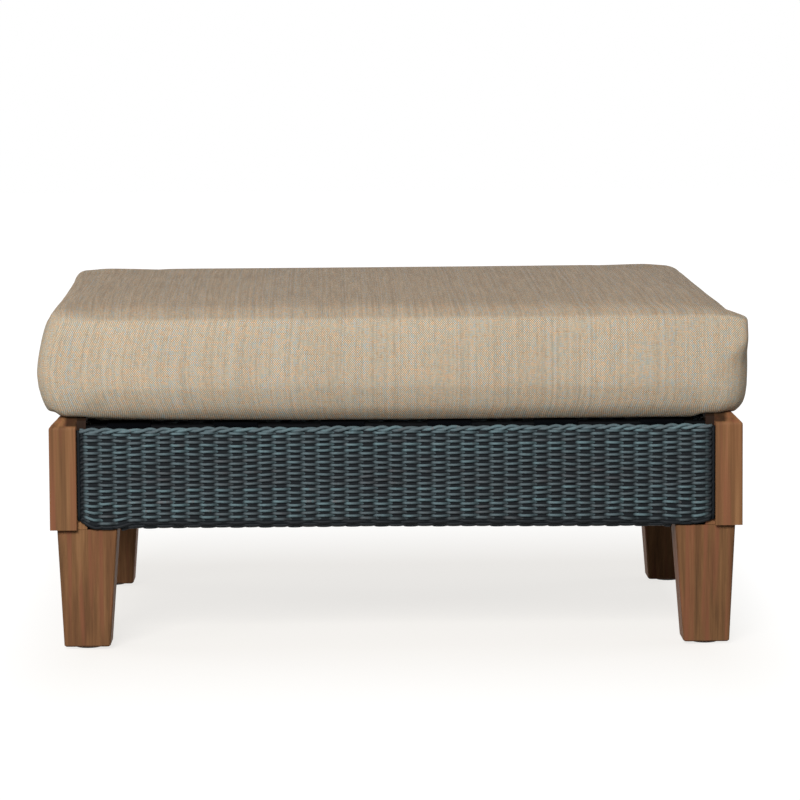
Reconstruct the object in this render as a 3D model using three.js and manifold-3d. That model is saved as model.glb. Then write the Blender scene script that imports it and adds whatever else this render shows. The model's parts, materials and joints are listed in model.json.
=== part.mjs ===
// Outdoor ottoman: teak legs and rabbeted corner posts, woven sides on welded aluminium rails,
// an interlaced strap deck and a loose boxed cushion with a zipped cover.
// Millimetres, +Z up. The origin is on the floor under the middle, and the front faces -Y.
import * as THREE from 'three';
import { mergeVertices } from 'three/addons/utils/BufferGeometryUtils.js';
import Module from 'manifold-3d';

// Frame, measured over the outer faces of the corner posts
const frameWidth = 790;
const frameDepth = 585;
const fitGap = 0.3;

// Nylon glide under each leg
const glideDiameter = 30;
const glideThickness = 3;
const glideEdge = 1;
const glideShankDiameter = 8;
const glideShankLength = 12;

// Leg: a square tapered block, set in from the post's outer faces
const legInset = 7.5;
const legHeight = 135.9;
const legTopWidth = 69;
const legFootWidth = 53;
const legOuterTaper = 6;
const legEdgeRadius = 4;
const legFootChamfer = 1.5;

// Corner post: a slim face that shows, on a core set back by the rabbet for the woven sides
const postHeight = 128.7;
const postFaceWidth = 31;
const rabbetDepth = 8;
const postCoreWidth = 34;
const postEdgeRadius = 2;
const postTopBevel = 12;

// Corner bracket: a foot plate with an angle welded on it
const footPlateInset = 12;
const footPlateWidth = 60;
const plateThickness = 3;
const angleWidth = 34;
const angleThickness = 3;

// Leg bolt, from the foot plate down into the leg
const boltInset = 58;
const boltDiameter = 8;
const boltLength = 42;
const boltHeadWidth = 13;
const boltHeadHeight = 5.3;
const washerDiameter = 17;
const washerThickness = 1.6;

// Post screws, two at each corner, from the angle into the post
const screwDiameter = 4.5;
const screwLength = 26;
const screwTip = 4;
const screwHeadDiameter = 8.4;
const screwHeadHeight = 2.8;
const screwInset = 37;
const lowScrewRise = 50;
const highScrewRise = 75;

// Square aluminium rails, one low and one high on each side
const railSize = 19;
const railWall = 1.5;
const railEdgeRadius = 2;
const railSetback = 11;
const lowRailRise = 2.5;
const topRailDrop = 10;

// Woven side panels
const stakePitch = 16.5;
const weaveEndGap = 9;
const panelInset = 0.8;
const ribRise = 2.4;
const ribFlankShare = 0.22;
const panelTopDrop = 12.3;
const panelBottomRise = 1.5;
const cornerRise = 6;
const cornerRun = 24;
const borderHeight = 6.5;
const borderRadius = 2.5;
const hemHeight = 17;
const hemEndGap = 6;

// Strap deck
const strapWidth = 50;
const strapThickness = 1.5;
const strapTail = 25;
const strapRampGap = 6;
const crossStrapCount = 6;
const longStrapCount = 4;

// Cushion
const cushionOverhang = 12;
const boxingHeight = 118;
const crownHeight = 25.5;
const cushionCornerRadius = 42;
const leastCornerRadius = 6;
const cornerSlope = 30;
const bevelLap = 3;
const sideDrawIn = 5;
const seamDip = 1.4;
const coverThickness = 1.5;
const softGap = 0.6;

// Zip at the back of the cushion
const zipEndGap = 24;
const zipSlotHeight = 14;
const zipTapeThickness = 1;
const zipTapeRecess = 0.4;
const zipChainWidth = 5;
const zipChainHeight = 1.2;
const zipStopLength = 6;
const sliderLength = 12;
const sliderWall = 1;
const bailLength = 9;
const bailWidth = 1.8;
const bailOpening = 1.5;
const bailBar = 0.9;
const pullLength = 28;
const pullWidth = 6;
const pullBar = 0.9;
const pullNeck = 5.5;

// How far cutting shapes run past what they cut, and how close vertices are joined
const overrun = 5;
const mergeTolerance = 0.001;

// Counts of facets
const arcSteps = 3;
const roundSides = 16;
const screwSides = 12;

// Cushion side from bottom to seam: shares of the edge rounding, of the boxing's height and of
// the lift over a post
const sideProfileShares = [
  [1.0, 0.0, 1.0], [0.6, 0.03, 0.5], [0.18, 0.14, 0], [0.0, 0.4, 0],
  [0.08, 0.7, 0], [0.24, 0.88, 0], [0.44, 0.985, 0],
];
const widestShare = sideProfileShares.find(([inset]) => inset === 0)[1];
// Rings over the crown: shares of the way from the seam to the long middle line
const crownRingShares = [0.012, 0.035, 0.075, 0.14, 0.26, 0.6];
const crownPower = 13;
// How much of each side between its corners stays straight at the full draw-in
const straightShare = 0.75;

// Heights of the stack, from the floor up
const legBottom = glideThickness + fitGap;
const legTop = legBottom + legHeight;
const plateBottom = legTop + fitGap;
const plateTop = plateBottom + plateThickness;
const postTop = plateBottom + postHeight;
const lowRailBottom = plateTop + lowRailRise;
const topRailTop = postTop - topRailDrop;
const topRailBottom = topRailTop - railSize;
const panelTop = postTop - panelTopDrop;
const panelBottom = plateBottom + panelBottomRise;
const strapLift = (strapThickness + fitGap) / 2;
const deckTop = topRailTop + fitGap + strapThickness + strapLift;
const cushionBottom = deckTop + fitGap;
const cornerLift = postTop + fitGap - cushionBottom;
const seamHeight = cushionBottom + boxingHeight;

// Plan places, counted inwards from the outer faces of the posts
const postCoreEnd = rabbetDepth + postCoreWidth;
const angleStart = postCoreEnd + fitGap;
const angleEnd = angleStart + angleThickness;
const railStart = angleEnd + fitGap;
const footPlateEnd = footPlateInset + footPlateWidth;
const cushionWidth = frameWidth + 2 * cushionOverhang;
const cushionDepth = frameDepth + 2 * cushionOverhang;
const edgeRounding = cushionOverhang + postTopBevel - bevelLap;

const colours = {
  teak: { color: 0x7f5c40, roughness: 0.62, metalness: 0 },
  weave: { color: 0x4d5b61, roughness: 0.5, metalness: 0 },
  rail: { color: 0x2b2a29, roughness: 0.5, metalness: 0.4 },
  steel: { color: 0x9a9b9c, roughness: 0.35, metalness: 1 },
  strap: { color: 0x2f2d2b, roughness: 0.9, metalness: 0 },
  glide: { color: 0x25211e, roughness: 0.6, metalness: 0 },
  cover: { color: 0xb9ab94, roughness: 0.95, metalness: 0 },
  core: { color: 0xe8e4d8, roughness: 0.9, metalness: 0 },
  zip: { color: 0x8d8270, roughness: 0.6, metalness: 0 },
};

const wasm = await Module();
wasm.setup();

// Solids and geometries

function solidOf(geometry) {
  const bare = geometry.clone();
  bare.deleteAttribute('normal');
  bare.deleteAttribute('uv');
  const merged = mergeVertices(bare, mergeTolerance);
  const corners = merged.index.array;
  const triangles = [];
  for (let i = 0; i < corners.length; i += 3) {
    const [a, b, c] = corners.slice(i, i + 3);
    if (a !== b && b !== c && c !== a) triangles.push(a, b, c);
  }
  return new wasm.Manifold(new wasm.Mesh({
    numProp: 3,
    vertProperties: merged.attributes.position.array,
    triVerts: Uint32Array.from(triangles),
  }));
}

function geometryOf(solid) {
  const mesh = solid.getMesh();
  const geometry = new THREE.BufferGeometry();
  geometry.setAttribute('position', new THREE.BufferAttribute(mesh.vertProperties, 3));
  geometry.setIndex(new THREE.BufferAttribute(mesh.triVerts, 1));
  geometry.computeVertexNormals();
  return geometry;
}

function joined(first, ...others) {
  return geometryOf(others.reduce((sum, next) => sum.add(solidOf(next)), solidOf(first)));
}

function cut(body, ...tools) {
  return geometryOf(tools.reduce((rest, tool) => rest.subtract(solidOf(tool)), solidOf(body)));
}

function common(first, ...others) {
  return geometryOf(others.reduce((rest, next) => rest.intersect(solidOf(next)), solidOf(first)));
}

// Outlines and prisms

// A closed outline through corners given as [x, y, radius], with the radius left out where sharp.
function roundedShape(corners) {
  const shape = new THREE.Shape();
  corners.forEach(([x, y, radius = 0], i) => {
    const corner = new THREE.Vector2(x, y);
    const before = new THREE.Vector2(...corners.at(i - 1));
    const after = new THREE.Vector2(...corners[(i + 1) % corners.length]);
    const start = before.sub(corner).setLength(radius).add(corner);
    const end = after.sub(corner).setLength(radius).add(corner);
    if (i === 0) shape.moveTo(start.x, start.y);
    else shape.lineTo(start.x, start.y);
    if (radius > 0) shape.quadraticCurveTo(x, y, end.x, end.y);
  });
  shape.closePath();
  return shape;
}

function rectangle(x0, y0, x1, y1, radius = 0) {
  return roundedShape([[x0, y0, radius], [x1, y0, radius], [x1, y1, radius], [x0, y1, radius]]);
}

// An outline in X and Y, raised from one height to another.
function prism(shape, from, to) {
  const options = { depth: to - from, bevelEnabled: false, curveSegments: arcSteps };
  return new THREE.ExtrudeGeometry(shape, options).translate(0, 0, from);
}

// An outline in X and Z, drawn out along Y.
function prismAlongY(shape, from, to) {
  return prism(shape, -to, -from).rotateX(Math.PI / 2);
}

// An outline in Y and Z, drawn out along X.
function prismAlongX(shape, from, to) {
  return prism(shape, from, to).rotateX(Math.PI / 2).rotateZ(Math.PI / 2);
}

function cylinder(diameter, from, to, sides) {
  const radius = diameter / 2;
  const geometry = new THREE.CylinderGeometry(radius, radius, to - from, sides);
  return geometry.rotateX(Math.PI / 2).translate(0, 0, (from + to) / 2);
}

// A turned piece from [radius, height] pairs that start and end on the axis.
function turned(profile, sides) {
  const points = profile.map(([radius, height]) => new THREE.Vector2(radius, height));
  return new THREE.LatheGeometry(points, sides).rotateX(Math.PI / 2);
}

// A closed skin over rings of points, from the lowest ring to the highest, closed by a fan at each
// end. Each ring holds as many points as the others, counter-clockwise from above.
function loft(rings, lowCentre, highCentre) {
  const count = rings[0].length;
  const points = [...rings.flat(), lowCentre, highCentre];
  const low = points.length - 2;
  const high = points.length - 1;
  const faces = [];
  for (let i = 0; i < count; i += 1) {
    const next = (i + 1) % count;
    faces.push(low, next, i);
    for (let ring = 0; ring < rings.length - 1; ring += 1) {
      const here = ring * count;
      const above = here + count;
      faces.push(here + i, here + next, above + next);
      faces.push(here + i, above + next, above + i);
    }
    const top = (rings.length - 1) * count;
    faces.push(high, top + i, top + next);
  }
  const geometry = new THREE.BufferGeometry().setFromPoints(points);
  geometry.setIndex(faces);
  geometry.computeVertexNormals();
  return geometry;
}

function piece(name, finish, geometry) {
  const mesh = new THREE.Mesh(geometry, new THREE.MeshStandardMaterial(colours[finish]));
  mesh.name = name;
  return mesh;
}

// Corner pieces, drawn with the corner of the frame at the origin and both sides running from it
// along +X and +Y

function glide() {
  const [x, y] = legFootCentre();
  const radius = glideDiameter / 2;
  const shank = glideShankDiameter / 2;
  const profile = [
    [0, 0], [radius - glideEdge, 0], [radius, glideEdge], [radius, glideThickness],
    [shank, glideThickness], [shank, glideThickness + glideShankLength],
    [0, glideThickness + glideShankLength],
  ];
  return turned(profile, roundSides).translate(x, y, 0);
}

function legFootCentre() {
  const middle = legInset + legOuterTaper + legFootWidth / 2;
  return [middle, middle];
}

function legRing(start, width, height) {
  const end = start + width;
  const outline = rectangle(start, start, end, end, legEdgeRadius).getPoints(arcSteps);
  return outline.slice(0, -1).map((point) => new THREE.Vector3(point.x, point.y, height));
}

function leg() {
  const footStart = legInset + legOuterTaper;
  const chamferTop = legBottom + legFootChamfer;
  const toeWidth = legFootWidth - 2 * legFootChamfer;
  const rings = [
    legRing(footStart + legFootChamfer, toeWidth, legBottom),
    legRing(footStart, legFootWidth, chamferTop),
    legRing(legInset, legTopWidth, legTop),
  ];
  const [footX, footY] = legFootCentre();
  const topMiddle = legInset + legTopWidth / 2;
  const block = loft(
    rings,
    new THREE.Vector3(footX, footY, legBottom),
    new THREE.Vector3(topMiddle, topMiddle, legTop),
  );
  const boltBore = cylinder(
    boltDiameter + 2 * fitGap,
    plateTop + fitGap - boltLength - fitGap,
    legTop + overrun,
    roundSides,
  ).translate(boltInset, boltInset, 0);
  const glideBore = cylinder(
    glideShankDiameter + 2 * fitGap,
    legBottom - overrun,
    glideThickness + glideShankLength + fitGap,
    roundSides,
  ).translate(footX, footY, 0);
  return cut(block, boltBore, glideBore);
}

function postPlan() {
  const face = postFaceWidth;
  const back = rabbetDepth;
  return roundedShape([
    [0, 0, postEdgeRadius], [face, 0, postEdgeRadius], [face, back], [postCoreEnd, back],
    [postCoreEnd, postCoreEnd, postEdgeRadius], [back, postCoreEnd], [back, face],
    [0, face, postEdgeRadius],
  ]);
}

// The side view that bevels the top towards the outer face.
function postElevation() {
  const end = postCoreEnd + overrun;
  return roundedShape([
    [0, plateBottom], [end, plateBottom], [end, postTop], [postTopBevel, postTop, postEdgeRadius],
    [0, postTop - postTopBevel, postEdgeRadius],
  ]);
}

function post() {
  const blank = prism(postPlan(), plateBottom, postTop);
  const end = postCoreEnd + overrun;
  const body = common(
    blank,
    prismAlongY(postElevation(), -overrun, end),
    prismAlongX(postElevation(), -overrun, end),
  );
  const pocketStart = footPlateInset - fitGap;
  const pocket = prism(
    rectangle(pocketStart, pocketStart, end, end),
    plateBottom - overrun,
    plateTop + fitGap,
  );
  return cut(body, pocket, ...postScrewBodies(screwDiameter + 2 * fitGap, postScrewHole));
}

// The two screws of a corner, or their holes: the low one runs along X, the high one along Y.
function postScrewBodies(diameter, make) {
  const low = make(diameter).rotateY(Math.PI / 2);
  low.translate(angleEnd + fitGap, screwInset, plateBottom + lowScrewRise);
  const high = make(diameter).rotateX(-Math.PI / 2);
  high.translate(screwInset, angleEnd + fitGap, plateBottom + highScrewRise);
  return [low, high];
}

// A straight hole for a screw that points down -Z from the seat of its head.
function postScrewHole(diameter) {
  return cylinder(diameter, -screwLength - fitGap, overrun, screwSides);
}

function postScrew(diameter) {
  const shank = diameter / 2;
  const head = screwHeadDiameter / 2;
  return turned([
    [0, -screwLength], [shank, screwTip - screwLength], [shank, 0],
    [head, 0], [head, screwHeadHeight / 2], [shank, screwHeadHeight], [0, screwHeadHeight],
  ], screwSides);
}

function cornerBracket() {
  const angleOutside = angleEnd - angleWidth;
  const plate = prism(
    rectangle(footPlateInset, footPlateInset, footPlateEnd, footPlateEnd, angleThickness),
    plateBottom,
    plateTop,
  );
  const angle = prism(roundedShape([
    [angleOutside, angleStart], [angleStart, angleStart], [angleStart, angleOutside],
    [angleEnd, angleOutside], [angleEnd, angleEnd], [angleOutside, angleEnd],
  ]), plateBottom, topRailTop);
  const boltHole = cylinder(
    boltDiameter + 2 * fitGap,
    plateBottom - overrun,
    plateTop + overrun,
    roundSides,
  ).translate(boltInset, boltInset, 0);
  const screwHoles = postScrewBodies(screwDiameter + 2 * fitGap, postScrewHole);
  return cut(joined(plate, angle), boltHole, ...screwHoles);
}

function legBolt() {
  const seat = plateTop + fitGap;
  const washerTop = seat + washerThickness;
  const shank = cylinder(boltDiameter, seat - boltLength, washerTop, roundSides);
  const washer = cylinder(washerDiameter, seat, washerTop, roundSides);
  const hexDiameter = boltHeadWidth / Math.cos(Math.PI / 6);
  const head = cylinder(hexDiameter, washerTop - washerThickness / 2, washerTop + boltHeadHeight, 6);
  return joined(washer, shank, head).translate(boltInset, boltInset, 0);
}

function corner(name, turn, x, y) {
  const group = new THREE.Group();
  const [lowScrew, highScrew] = postScrewBodies(screwDiameter, postScrew);
  group.add(
    piece(`${name}_glide`, 'glide', glide()),
    piece(`${name}_leg`, 'teak', leg()),
    piece(`${name}_post`, 'teak', post()),
    piece(`${name}_bracket`, 'rail', cornerBracket()),
    piece(`${name}_leg_bolt`, 'steel', legBolt()),
    piece(`${name}_post_screw_low`, 'steel', lowScrew),
    piece(`${name}_post_screw_high`, 'steel', highScrew),
  );
  group.rotation.z = turn;
  group.position.set(x, y, 0);
  return group;
}

// Side pieces, drawn with the middle of that side's outer face at the origin, the side running
// along X and +Y pointing inwards

function rail(length, bottom) {
  const end = railSetback + railSize;
  const section = rectangle(railSetback, bottom, end, bottom + railSize, railEdgeRadius);
  section.holes.push(rectangle(
    railSetback + railWall,
    bottom + railWall,
    end - railWall,
    bottom + railSize - railWall,
  ));
  const half = length / 2 - railStart;
  return prismAlongX(section, -half, half);
}

// A slab whose outer face swells over each stake, with plain ends beside the posts.
function ribbedSlab(half) {
  const woven = half - weaveEndGap;
  const count = Math.round((2 * woven) / stakePitch);
  const pitch = (2 * woven) / count;
  const inner = rabbetDepth - fitGap;
  const valley = panelInset + ribRise;
  const outline = [[-half, inner], [-half, valley]];
  for (let rib = 0; rib < count; rib += 1) {
    const start = rib * pitch - woven;
    outline.push(
      [start, valley],
      [start + pitch * ribFlankShare, panelInset],
      [start + pitch * (1 - ribFlankShare), panelInset],
    );
  }
  outline.push([woven, valley], [half, valley], [half, inner]);
  return prism(roundedShape(outline.reverse()), panelBottom, panelTop - borderHeight);
}

// The front view of a panel, with its lower corners drawn up.
function panelElevation(half) {
  const shape = new THREE.Shape();
  const cornerBottom = panelBottom + cornerRise;
  shape.moveTo(-half, panelTop + overrun);
  shape.lineTo(-half, cornerBottom);
  shape.quadraticCurveTo(cornerRun / 2 - half, panelBottom, cornerRun - half, panelBottom);
  shape.lineTo(half - cornerRun, panelBottom);
  shape.quadraticCurveTo(half - cornerRun / 2, panelBottom, half, cornerBottom);
  shape.lineTo(half, panelTop + overrun);
  shape.closePath();
  return shape;
}

// The hem that turns under the low rail and up its outer face.
function hemSection() {
  const start = panelInset + ribRise;
  const reach = railSetback + railSize;
  const face = railSetback - fitGap;
  const lipTop = lowRailBottom - fitGap;
  const hemTop = panelBottom + hemHeight;
  return roundedShape([
    [start, panelBottom, borderRadius / 2], [reach, panelBottom], [reach, lipTop], [face, lipTop],
    [face, hemTop], [start, hemTop],
  ]);
}

function wovenPanel(length) {
  const half = length / 2 - postFaceWidth - fitGap;
  const hemHalf = length / 2 - footPlateEnd - hemEndGap;
  const inner = rabbetDepth - fitGap;
  const face = common(
    ribbedSlab(half),
    prismAlongY(panelElevation(half), -overrun, inner + overrun),
  );
  const border = roundedShape([
    [panelInset, panelTop - borderHeight, borderRadius], [inner, panelTop - borderHeight],
    [inner, panelTop], [panelInset, panelTop, borderRadius],
  ]);
  return joined(
    face,
    prismAlongX(border, -half, half),
    prismAlongX(hemSection(), -hemHalf, hemHalf),
  );
}

function side(name, length, turn, x, y) {
  const group = new THREE.Group();
  group.add(
    piece(`${name}_low_rail`, 'rail', rail(length, lowRailBottom)),
    piece(`${name}_top_rail`, 'rail', rail(length, topRailBottom)),
    piece(`${name}_woven_panel`, 'weave', wovenPanel(length)),
  );
  group.rotation.z = turn;
  group.position.set(x, y, 0);
  return group;
}

// Straps

// Where the straps of one set lie, counted from the middle.
function strapPlaces(count, length) {
  const span = length - 2 * (railSetback + railSize);
  const pitch = span / count;
  return Array.from({ length: count }, (_, i) => (i - (count - 1) / 2) * pitch);
}

// The right-hand loop of a strap seen from its edge: from the end of its sewn tail, down inside
// the rail, under it and up outside, to the top face.
function loopCorners(railOut) {
  const inside = railOut - railSize - fitGap - strapThickness;
  const outside = railOut + fitGap + strapThickness;
  const underside = topRailTop + fitGap;
  const bottom = topRailBottom - fitGap - strapThickness;
  const top = underside + strapThickness;
  const radius = railEdgeRadius + strapThickness;
  return [
    [inside - strapTail, underside], [inside - strapTail, underside - strapThickness],
    [inside, underside - strapThickness], [inside, bottom, radius], [outside, bottom, radius],
    [outside, top, radius],
  ];
}

function mirrored(corners) {
  return corners.map(([x, ...rest]) => [-x, ...rest]).reverse();
}

// A strap seen from its edge. Crossings are [place, lift], with lift 1 over and -1 under.
function strapShape(length, crossings) {
  const railOut = length / 2 - railSetback;
  const underside = topRailTop + fitGap;
  const half = strapWidth / 2 + strapRampGap;
  const lower = crossings.flatMap(([place, way]) => [
    [place - half, underside + way * strapLift], [place + half, underside + way * strapLift],
  ]);
  const upper = lower.map(([x, z]) => [x, z + strapThickness]).reverse();
  const loop = loopCorners(railOut);
  const shape = roundedShape([...lower, ...loop, ...upper, ...mirrored(loop)]);
  const holeIn = railOut - railSize - fitGap;
  const holeOut = railOut + fitGap;
  const holeBottom = topRailBottom - fitGap;
  shape.holes.push(rectangle(holeIn, holeBottom, holeOut, underside, railEdgeRadius));
  shape.holes.push(rectangle(-holeOut, holeBottom, -holeIn, underside, railEdgeRadius));
  return shape;
}

function strapDeck() {
  const group = new THREE.Group();
  const crossPlaces = strapPlaces(crossStrapCount, frameWidth);
  const longPlaces = strapPlaces(longStrapCount, frameDepth);
  const wayOf = (cross, long) => ((cross + long) % 2 === 0 ? 1 : -1);
  crossPlaces.forEach((place, i) => {
    const crossings = longPlaces.map((at, j) => [at, wayOf(i, j)]);
    const strap = prismAlongY(strapShape(frameDepth, crossings), -strapWidth / 2, strapWidth / 2);
    const mesh = piece(`cross_strap_${i + 1}`, 'strap', strap.rotateZ(Math.PI / 2));
    mesh.position.x = place;
    group.add(mesh);
  });
  longPlaces.forEach((place, j) => {
    const crossings = crossPlaces.map((at, i) => [at, -wayOf(i, j)]);
    const strap = prismAlongY(strapShape(frameWidth, crossings), -strapWidth / 2, strapWidth / 2);
    const mesh = piece(`long_strap_${j + 1}`, 'strap', strap);
    mesh.position.y = place;
    group.add(mesh);
  });
  return group;
}

// Cushion

// One quarter of the cushion's plan, from the middle of +X round to the middle of +Y. The third
// value says how fully a point follows the post that holds up its corner.
function quarterRing(halfX, halfY, radius) {
  const cornerX = halfX - radius;
  const cornerY = halfY - radius;
  const straightX = straightShare * cornerX;
  const straightY = straightShare * cornerY;
  const points = [
    [halfX - sideDrawIn, straightY, 0],
    [halfX - sideDrawIn / 2, (straightY + cornerY) / 2, 1],
  ];
  const steps = arcSteps + 1;
  for (let step = 0; step <= steps; step += 1) {
    const angle = (Math.PI / 2) * (step / steps);
    points.push([cornerX + radius * Math.cos(angle), cornerY + radius * Math.sin(angle), 1]);
  }
  points.push([(straightX + cornerX) / 2, halfY - sideDrawIn / 2, 1]);
  points.push([straightX, halfY - sideDrawIn, 0]);
  return points;
}

function cushionRing([inset, height, lift]) {
  const radius = Math.max(cushionCornerRadius - inset, leastCornerRadius);
  const quarter = quarterRing(cushionWidth / 2 - inset, cushionDepth / 2 - inset, radius);
  const plan = [
    ...quarter,
    ...quarter.map(([x, y, hold]) => [-x, y, hold]).reverse(),
    ...quarter.map(([x, y, hold]) => [-x, -y, hold]),
    ...quarter.map(([x, y, hold]) => [x, -y, hold]).reverse(),
  ];
  return plan.map(([x, y, hold]) => new THREE.Vector3(x, y, height + hold * lift));
}

// The cushion's section as [inset, height, lift] rows, from the flat bottom over the side, the
// seam and the crown. The lift is how far a post raises the cushion's corner there.
function cushionProfile() {
  const postReach = cushionOverhang + postCoreEnd + softGap;
  const bottom = [
    [postReach + cornerSlope, cushionBottom, 0],
    [postReach, cushionBottom, cornerLift],
  ];
  const sides = sideProfileShares.map(([inset, height, lift]) => [
    inset * edgeRounding,
    cushionBottom + height * boxingHeight,
    lift * cornerLift,
  ]);
  const seamInset = sides.at(-1)[0] + seamDip;
  const reach = cushionDepth / 2 - seamInset;
  const crown = crownRingShares.map((share) => [
    seamInset + share * reach,
    seamHeight + crownHeight * (1 - (1 - share) ** crownPower),
    0,
  ]);
  return [...bottom, ...sides, [seamInset, seamHeight, 0], ...crown];
}

// The profile moved into the cushion by an even distance.
function insideProfile(profile, distance) {
  const middle = cushionDepth / 2;
  const ends = [[middle, profile[0][1]], ...profile, [middle, seamHeight + crownHeight]];
  const places = ends.map(([inset, height]) => new THREE.Vector2(inset, height));
  return profile.map(([inset, height, lift], i) => {
    const before = places[i + 1].clone().sub(places[i]).normalize();
    const after = places[i + 2].clone().sub(places[i + 1]).normalize();
    const along = before.clone().add(after).normalize();
    const reach = distance / along.dot(after);
    return [inset + along.y * reach, height - along.x * reach, lift];
  });
}

function cushionBody(distance) {
  const profile = insideProfile(cushionProfile(), distance);
  const bottom = new THREE.Vector3(0, 0, cushionBottom + distance);
  const top = new THREE.Vector3(0, 0, seamHeight + crownHeight - distance);
  return loft(profile.map(cushionRing), bottom, top);
}

const zipMiddle = cushionBottom + widestShare * boxingHeight;
const zipSlotHalf = straightShare * (cushionWidth / 2 - cushionCornerRadius) - zipEndGap;
const cushionBack = cushionDepth / 2 - sideDrawIn;
const tapeFace = cushionBack - zipTapeRecess;
const chainFace = tapeFace + zipChainHeight;
const sliderFace = chainFace + fitGap + sliderWall;
const pullAxis = sliderFace + bailOpening / 2;
const chainEnd = zipSlotHalf - fitGap - zipStopLength;
const sliderPlace = chainEnd - sliderLength / 2 - fitGap;

function cushionCover() {
  const low = zipMiddle - zipSlotHeight / 2;
  const slot = prismAlongY(
    rectangle(-zipSlotHalf, low, zipSlotHalf, low + zipSlotHeight),
    cushionBack - coverThickness - overrun,
    cushionBack + overrun,
  );
  return cut(cushionBody(0), cushionBody(coverThickness), slot);
}

function zipTape() {
  const half = zipSlotHalf - fitGap;
  const tapeHalf = zipSlotHeight / 2 - fitGap;
  const chainHalf = zipChainWidth / 2;
  const back = tapeFace - zipTapeThickness;
  const stop = (from, to) => prismAlongX(
    rectangle(back, zipMiddle - chainHalf, sliderFace, zipMiddle + chainHalf),
    from,
    to,
  );
  const section = roundedShape([
    [back, zipMiddle - tapeHalf], [tapeFace, zipMiddle - tapeHalf],
    [tapeFace, zipMiddle - chainHalf], [chainFace, zipMiddle - chainHalf],
    [chainFace, zipMiddle + chainHalf], [tapeFace, zipMiddle + chainHalf],
    [tapeFace, zipMiddle + tapeHalf], [back, zipMiddle + tapeHalf],
  ]);
  return joined(prismAlongX(section, -half, half), stop(-half, -chainEnd), stop(chainEnd, half));
}

// The slider is a channel over the chain, with a bail that holds the pull.
function zipSlider() {
  const inner = zipChainWidth / 2 + fitGap;
  const outer = inner + sliderWall;
  const lip = tapeFace + fitGap;
  const roof = chainFace + fitGap;
  const half = sliderLength / 2;
  const channel = prismAlongX(roundedShape([
    [lip, zipMiddle - outer], [sliderFace, zipMiddle - outer], [sliderFace, zipMiddle + outer],
    [lip, zipMiddle + outer], [lip, zipMiddle + inner], [roof, zipMiddle + inner],
    [roof, zipMiddle - inner], [lip, zipMiddle - inner],
  ]), -half, half);
  const bailHalf = bailLength / 2;
  const openHalf = bailHalf - bailBar - bailBar / 2;
  const bailBottom = sliderFace - sliderWall / 2;
  const bailTop = sliderFace + bailOpening + bailBar;
  const arch = rectangle(-bailHalf, bailBottom, bailHalf, bailTop);
  arch.holes.push(rectangle(-openHalf, sliderFace, openHalf, sliderFace + bailOpening));
  const bail = prism(arch, zipMiddle - bailWidth / 2, zipMiddle + bailWidth / 2);
  return joined(channel, bail);
}

// The pull is a flat tab with an eye, whose end bar lies in the bail.
function zipPull() {
  const half = pullBar / 2;
  const eyeHalf = bailWidth / 2 + fitGap;
  const tab = rectangle(-half, -pullWidth / 2, pullLength, pullWidth / 2);
  tab.holes.push(rectangle(half, -eyeHalf, pullNeck, eyeHalf));
  const plate = prism(tab, -half, half).rotateX(Math.PI / 2);
  return plate.translate(0, pullAxis, zipMiddle);
}

function cushion() {
  const group = new THREE.Group();
  const slider = piece('zip_slider', 'steel', zipSlider());
  const pull = piece('zip_pull', 'steel', zipPull());
  slider.position.x = sliderPlace;
  pull.position.x = sliderPlace;
  group.add(
    piece('cushion_cover', 'cover', cushionCover()),
    piece('cushion_core', 'core', cushionBody(coverThickness + softGap)),
    piece('zip_tape', 'zip', zipTape()),
    slider,
    pull,
  );
  return group;
}

const right = frameWidth / 2;
const back = frameDepth / 2;
const quarterTurn = Math.PI / 2;
const ottoman = new THREE.Group();
ottoman.add(
  corner('front_left', 0, -right, -back),
  corner('front_right', quarterTurn, right, -back),
  corner('back_right', 2 * quarterTurn, right, back),
  corner('back_left', -quarterTurn, -right, back),
  side('front', frameWidth, 0, 0, -back),
  side('right', frameDepth, quarterTurn, right, 0),
  side('back', frameWidth, 2 * quarterTurn, 0, back),
  side('left', frameDepth, -quarterTurn, -right, 0),
  strapDeck(),
  cushion(),
);

export default ottoman;
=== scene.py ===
"""Looks of the outdoor ottoman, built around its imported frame.

Shapes are worked out in millimetres and become metres in put(). Materials, the camera, the floor
and the lamps are in metres.
"""

import json
import math

import bpy
import numpy as np
from mathutils import Matrix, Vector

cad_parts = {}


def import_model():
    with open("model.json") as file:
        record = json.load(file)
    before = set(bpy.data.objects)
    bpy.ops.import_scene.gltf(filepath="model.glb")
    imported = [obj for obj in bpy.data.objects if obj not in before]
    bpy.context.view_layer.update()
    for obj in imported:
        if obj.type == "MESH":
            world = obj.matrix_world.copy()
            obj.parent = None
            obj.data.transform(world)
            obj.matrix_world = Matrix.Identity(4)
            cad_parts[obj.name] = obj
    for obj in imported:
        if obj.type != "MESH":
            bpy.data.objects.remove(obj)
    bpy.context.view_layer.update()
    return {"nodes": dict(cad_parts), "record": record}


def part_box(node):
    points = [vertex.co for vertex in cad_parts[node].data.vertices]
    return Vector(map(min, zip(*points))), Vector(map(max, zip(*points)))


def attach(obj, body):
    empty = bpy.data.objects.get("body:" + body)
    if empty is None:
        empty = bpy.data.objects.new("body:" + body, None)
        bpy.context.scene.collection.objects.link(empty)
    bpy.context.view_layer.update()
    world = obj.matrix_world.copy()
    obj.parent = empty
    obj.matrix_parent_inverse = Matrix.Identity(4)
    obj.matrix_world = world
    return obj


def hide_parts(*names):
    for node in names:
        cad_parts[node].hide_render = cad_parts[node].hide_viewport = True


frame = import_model()

MM = 0.001


def corners(node):
    """A node's lowest and highest corner in millimetres, to the tenth that the part is drawn in."""
    return [np.array([round(number / MM, 1) for number in corner]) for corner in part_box(node)]


# Sizes of the part that its boxes don't show, in millimetres
POST_FACE = 31.0
FIT = 0.3
CROWN = 25.5
ZIP_HALF = 249.8
BRACKET_END = 72.0

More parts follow.
